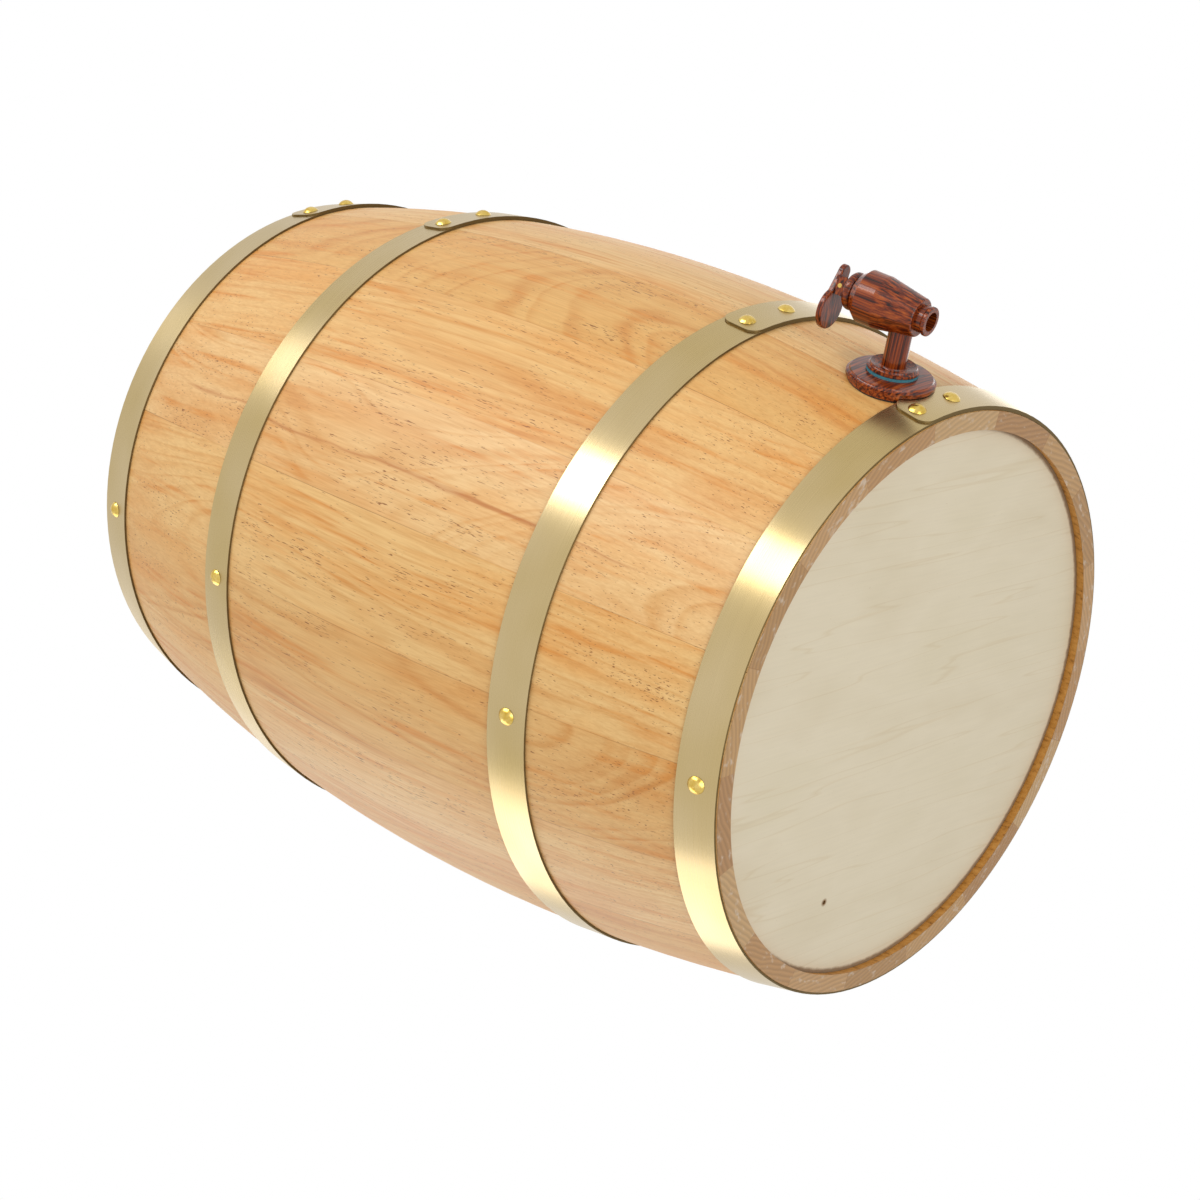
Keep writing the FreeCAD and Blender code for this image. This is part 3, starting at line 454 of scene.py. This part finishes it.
def makeStrap():
    material, tree, shader, add = newMaterial("brushedBrassStrap")
    point = add("Mapping", {"Vector": add("TexCoord", out="Object"), "Scale": metresToMm})
    linePlace = add("Mapping", {"Vector": point, "Scale": per(strapLook["lines"])})
    lines = add("TexNoise", {"Vector": linePlace, "Scale": 1.0, "Detail": 3.0,
                             "Roughness": 0.6})
    patchPlace = add("Mapping", {"Vector": point, "Scale": per(strapLook["patch"])})
    patch = add("TexNoise", {"Vector": patchPlace, "Scale": 1.0, "Detail": 2.0})
    colour = add("ValToRGB", {"Fac": patch},
                 stops=colourStops((0.35, 0.65), strapLook["brass"]))
    tone = add("ValToRGB", {"Fac": lines}, stops=greyStops((0.3, 0.93), (0.7, 1.0)))
    colour = add("Mix", {0: strapLook["lineStrength"], 6: colour, 7: tone}, 2,
                 data_type="RGBA", blend_type="MULTIPLY")

    # cut edges are darker where the plating stops, with painted shade of the gap along the
    # strap's edges
    level = add("VectorMath", {0: point, 1: withoutHeight}, operation="MULTIPLY")
    outward = add("VectorMath", {0: level}, operation="NORMALIZE")
    facing = add("VectorMath", {0: add("NewGeometry", out="Normal"), 1: outward}, "Value",
                 operation="DOT_PRODUCT")
    edgeShadeMask = add("MapRange", {"Value": facing, "From Min": 0.8, "From Max": 0.55})
    colour = add("Mix", {0: edgeShadeMask, 6: colour, 7: hexColour(strapLook["cutEdgeAndShade"])}, 2,
                 data_type="RGBA")
    rough = add("MapRange", {"Value": lines, "From Min": 0.2, "From Max": 0.8,
                             "To Min": 0.25, "To Max": 0.31})
    rough = add("Mix", {0: edgeShadeMask, 2: rough, 3: strapLook["cutRoughness"]})
    tangent = add("Tangent", out="Tangent", direction_type="RADIAL", axis="Z")
    bump = add("Bump", {"Height": lines, "Strength": 0.06,
                        "Distance": strapLook["relief"] * mm}, "Normal")
    fillInputs(tree, shader, {"Base Color": colour, "Roughness": rough, "Metallic": 1.0,
                              "Anisotropic": 0.75, "Anisotropic Rotation": 0.25,
                              "Tangent": tangent, "Normal": bump})
    return material


# Solid brass: polished rivet heads and a drawn pin. The eye sees small clear reflections.
brass = {
    "rivet": ("#C9A545", "#DEC272"),
    "rivetRoughness": 0.18,
    "pin": ("#B99A4A", "#CDB06A"),
    "pinRoughness": 0.3,
    "wornRoughness": 0.12,              # added where the surface is worn
    "wear": (2.8, 2.8, 2.8),            # mm
    "relief": 0.05,                     # mm
}


def makeBrass(name, tones, roughness):
    material, tree, shader, add = newMaterial(name)
    point = add("Mapping", {"Vector": add("TexCoord", out="Object"), "Scale": metresToMm})
    wearPlace = add("Mapping", {"Vector": point, "Scale": per(brass["wear"])})
    wear = add("TexNoise", {"Vector": wearPlace, "Scale": 1.0, "Detail": 4.0,
                            "Roughness": 0.6})
    colour = add("ValToRGB", {"Fac": wear}, stops=colourStops((0.35, 0.65), tones))
    rough = add("MapRange", {"Value": wear, "From Min": 0.3, "From Max": 0.7,
                             "To Min": roughness,
                             "To Max": roughness + brass["wornRoughness"]})
    bump = add("Bump", {"Height": wear, "Strength": 0.08, "Distance": brass["relief"] * mm},
               "Normal")
    fillInputs(tree, shader, {"Base Color": colour, "Roughness": rough, "Metallic": 1.0,
                              "Normal": bump})
    return material


# Rosewood, turned and oiled to a gloss. The eye sees red-brown wood with near-black streaks.
rosewood = {
    "dark": "#1C0904",
    "deep": "#461606",
    "mid": "#6E2807",
    "warm": "#8E3E0F",
    "light": "#A65218",
    "streaks": (0.95, 0.95, 44.0),      # mm
    "pores": (0.34, 0.34, 8.0),         # mm: drawn a little wide, so that they show
    "relief": 0.08,                     # mm
    # material: how its grain is turned in degrees and moved in mm, and the pieces in it
    "cuts": {
        "oiledRosewoodUpright": ((-7.5, 6.0, 0.0), (0.0, 0.0, 0.0),
                                 ("valve_body", "bonnet", "plunger")),
        "oiledRosewoodStem": ((82.5, 0.0, 28.0), (9.0, 0.0, 40.0), ("tap_stem",)),
        "oiledRosewoodFlange": ((0.0, 90.0, 20.0), (0.0, 70.0, 0.0), ("tap_flange",)),
        "oiledRosewoodLever": ((90.0, 0.0, -22.0), (0.0, 30.0, 12.0), ("lever",)),
    },
}


def makeRosewood(name, tilt, offset):
    material, tree, shader, add = newMaterial(name)
    turn = tuple(math.radians(part) for part in tilt)
    point = add("Mapping", {"Vector": add("TexCoord", out="Object"), "Scale": metresToMm,
                            "Rotation": turn, "Location": offset})
    streakPlace = add("Mapping", {"Vector": point, "Scale": per(rosewood["streaks"])})
    streaks = add("TexNoise", {"Vector": streakPlace, "Scale": 1.0, "Detail": 4.0,
                               "Roughness": 0.5, "Distortion": 0.15})
    tones = [rosewood[tone] for tone in ("dark", "deep", "mid", "warm", "light", "mid")]
    colour = add("ValToRGB", {"Fac": streaks},
                 stops=colourStops((0.32, 0.41, 0.49, 0.58, 0.70, 0.80), tones))
    porePlace = add("Mapping", {"Vector": point, "Scale": per(rosewood["pores"])})
    pores = add("TexNoise", {"Vector": porePlace, "Scale": 1.0, "Detail": 2.0})
    poreMask = add("MapRange", {"Value": pores, "From Min": 0.60, "From Max": 0.70,
                                "To Max": 0.6})
    colour = add("Mix", {0: poreMask, 6: colour, 7: hexColour(rosewood["dark"])}, 2,
                 data_type="RGBA")
    bump = add("Bump", {"Height": pores, "Strength": 0.15,
                        "Distance": rosewood["relief"] * mm}, "Normal")
    fillInputs(tree, shader, {"Base Color": colour, "Roughness": 0.3,
                              "Specular IOR Level": 0.22, "Coat Weight": 0.35,
                              "Coat Roughness": 0.06, "Normal": bump})
    return material


# Moulded rubber: the eye sees a dull skin with a faint dusty mottle.
rubber = {
    "black": ("#23231F", "#34342E"),
    "teal": ("#2C6672", "#3F7F8C"),
    "mottle": (1.2, 1.2, 1.2),          # mm
    "relief": 0.08,                     # mm
}


def makeRubber(name, tones):
    material, tree, shader, add = newMaterial(name)
    point = add("Mapping", {"Vector": add("TexCoord", out="Object"), "Scale": metresToMm})
    mottlePlace = add("Mapping", {"Vector": point, "Scale": per(rubber["mottle"])})
    mottle = add("TexNoise", {"Vector": mottlePlace, "Scale": 1.0, "Detail": 4.0,
                              "Roughness": 0.6})
    colour = add("ValToRGB", {"Fac": mottle}, stops=colourStops((0.35, 0.7), tones))
    bump = add("Bump", {"Height": mottle, "Strength": 0.2,
                        "Distance": rubber["relief"] * mm}, "Normal")
    fillInputs(tree, shader, {"Base Color": colour, "Roughness": 0.7, "Normal": bump})
    return material


# Stainless steel of the inner tank, spring and washer, brushed. The eye sees neutral metal
# with fine lines.
steel = {
    "tones": ("#B7B9BB", "#C9CBCC"),
    "lines": (33.0, 33.0, 0.45),        # mm: drawn coarser than real ones
    "relief": 0.05,                     # mm
}


def makeSteel():
    material, tree, shader, add = newMaterial("brushedStainless")
    point = add("Mapping", {"Vector": add("TexCoord", out="Object"), "Scale": metresToMm})
    linePlace = add("Mapping", {"Vector": point, "Scale": per(steel["lines"])})
    lines = add("TexNoise", {"Vector": linePlace, "Scale": 1.0, "Detail": 3.0,
                             "Roughness": 0.6})
    colour = add("ValToRGB", {"Fac": lines}, stops=colourStops((0.3, 0.7), steel["tones"]))
    bump = add("Bump", {"Height": lines, "Strength": 0.1, "Distance": steel["relief"] * mm},
               "Normal")
    fillInputs(tree, shader, {"Base Color": colour, "Metallic": 1.0, "Roughness": 0.34,
                              "Normal": bump})
    return material


# Moulded nylon of the lock nut: the eye sees milky white, a little uneven.
nylon = {
    "tones": ("#DEDCD2", "#E9E7DE"),
    "mottle": (3.3, 3.3, 3.3),          # mm
    "relief": 0.1,                      # mm
}


def makeNylon():
    material, tree, shader, add = newMaterial("mouldedNylon")
    point = add("Mapping", {"Vector": add("TexCoord", out="Object"), "Scale": metresToMm})
    mottlePlace = add("Mapping", {"Vector": point, "Scale": per(nylon["mottle"])})
    mottle = add("TexNoise", {"Vector": mottlePlace, "Scale": 1.0, "Detail": 3.0})
    colour = add("ValToRGB", {"Fac": mottle}, stops=colourStops((0.3, 0.7), nylon["tones"]))
    bump = add("Bump", {"Height": mottle, "Strength": 0.05,
                        "Distance": nylon["relief"] * mm}, "Normal")
    fillInputs(tree, shader, {"Base Color": colour, "Roughness": 0.45, "Normal": bump})
    return material


def paint(material, *names):
    for name in names:
        mesh = nodes[name].data
        mesh.materials.clear()
        mesh.materials.append(material)


staveWidth = 360.0 / cask["staveCount"]
for index in range(cask["staveCount"]):
    middle = cask["firstJoint"] + staveWidth * (index + 0.5)
    paint(makePine(index, -math.radians(middle)), "stave_%02d" % (index + 1))
paint(makePlywood("birchPlywood", False), "top_head")
paint(makePlywood("birchPlywoodDrilled", True), "bottom_head")
paint(makeBeech(), "bung")
print("wood of the cask painted")

paint(makeStrap(), *["hoop_" + name for name in cask["hoops"]])
paint(makeBrass("polishedRivetBrass", brass["rivet"], brass["rivetRoughness"]),
      *["rivets_" + name for name in cask["hoops"]])
paint(makeBrass("drawnPinBrass", brass["pin"], brass["pinRoughness"]), "lever_pin")
print("brass painted")

for name, (tilt, offset, pieces) in rosewood["cuts"].items():
    paint(makeRosewood(name, tilt, offset), *pieces)
paint(makeRubber("blackRubber", rubber["black"]),
      "wall_gasket", "tank_washer", "rod_seal", "valve_seal")
paint(makeRubber("tealRubber", rubber["teal"]), "collar_gasket")
paint(makeSteel(), "inner_tank", "return_spring", "thrust_washer")
paint(makeNylon(), "lock_nut")
print("tap and tank painted")

# Studio

studio = {
    "camera": (-849.81, -487.94, -573.19),      # mm
    "right": (0.68831685, -0.04991907, -0.72369055),
    "down": (-0.25880758, 0.91507698, -0.30927779),
    "sensor": 36.0,                             # mm
    "focalLength": 2466.4 / 1200.0,             # in widths of the sensor
    "nearest": 0.01,                            # m that the camera can see
    "ambient": 0.52,                            # white surroundings' strength as a light
    "centre": (0.0, 0.0, 0.21),                 # m: what the lamps point at
    "lamps": {                                  # place and size in metres, power in watts
        "keySoftbox": ((-0.83, -1.16, 0.72), (0.40, 1.4), 12.0),
        "headFill": ((-0.5, -0.5, -1.5), (1.4, 1.4), 14.2),
        "farFill": ((1.6, 0.6, 0.9), (1.6, 1.6), 9.5),
        "backFill": ((-0.6, 1.8, 1.0), (1.6, 1.6), 14.0),
    },
    "floorReach": 6.0,                          # m from the middle to each edge
    "card": "#F4F4F2",
}
scene = bpy.context.scene

cameraData = bpy.data.cameras.new("photoCamera")
cameraData.sensor_width = studio["sensor"]
cameraData.lens = studio["focalLength"] * studio["sensor"]
cameraData.clip_start = studio["nearest"]
camera = bpy.data.objects.new("photoCamera", cameraData)
right, down = Vector(studio["right"]), Vector(studio["down"])
turn = Matrix((right, -down, -right.cross(down))).transposed().to_4x4()
camera.matrix_world = Matrix.Translation(Vector(studio["camera"]) * mm) @ turn
scene.collection.objects.link(camera)
scene.camera = camera

for name, (place, size, power) in studio["lamps"].items():
    lampData = bpy.data.lights.new(name, "AREA")
    lampData.shape = "RECTANGLE"
    lampData.size, lampData.size_y = size
    lampData.energy = power
    lamp = bpy.data.objects.new(name, lampData)
    aim = (Vector(studio["centre"]) - Vector(place)).to_track_quat("-Z", "Y")
    lamp.matrix_world = Matrix.Translation(Vector(place)) @ aim.to_matrix().to_4x4()
    scene.collection.objects.link(lamp)

# white to the eye and in reflections, softer as a light
world = bpy.data.worlds.new("studioWorld")
scene.world = world
world.use_nodes = True
world.node_tree.nodes.clear()
add = partial(addNode, world.node_tree)
seen = add("LightPath", out="Is Camera Ray")
for ray in ("Is Glossy Ray", "Is Transmission Ray"):
    seen = add("Math", {0: seen, 1: add("LightPath", out=ray)}, operation="MAXIMUM")
level = add("MapRange", {"Value": seen, "To Min": studio["ambient"], "To Max": 1.0})
sky = add("Background", {"Color": grey(1.0), "Strength": level})
output = world.node_tree.nodes.new("ShaderNodeOutputWorld")
world.node_tree.links.new(sky, output.inputs["Surface"])

# white card, clear from below so that the low camera sees the cask's foot
shape = bmesh.new()
bmesh.ops.create_grid(shape, x_segments=1, y_segments=1, size=studio["floorReach"])
mesh = bpy.data.meshes.new("studioFloor")
shape.to_mesh(mesh)
shape.free()
floor = bpy.data.objects.new("studioFloor", mesh)
scene.collection.objects.link(floor)
card, cardTree, cardShader, add = newMaterial("whiteCard")
fillInputs(cardTree, cardShader, {"Base Color": hexColour(studio["card"]), "Roughness": 0.9})
sided = add("MixShader", {0: add("NewGeometry", out="Backfacing"), 1: cardShader.outputs[0],
                          2: add("BsdfTransparent")})
fillInputs(cardTree, cardTree.nodes["Material Output"], {"Surface": sided})
mesh.materials.append(card)
floor.visible_shadow = False
floor.visible_diffuse = False
floor.visible_glossy = False

scene.view_settings.view_transform = "Standard"
print("studio set")
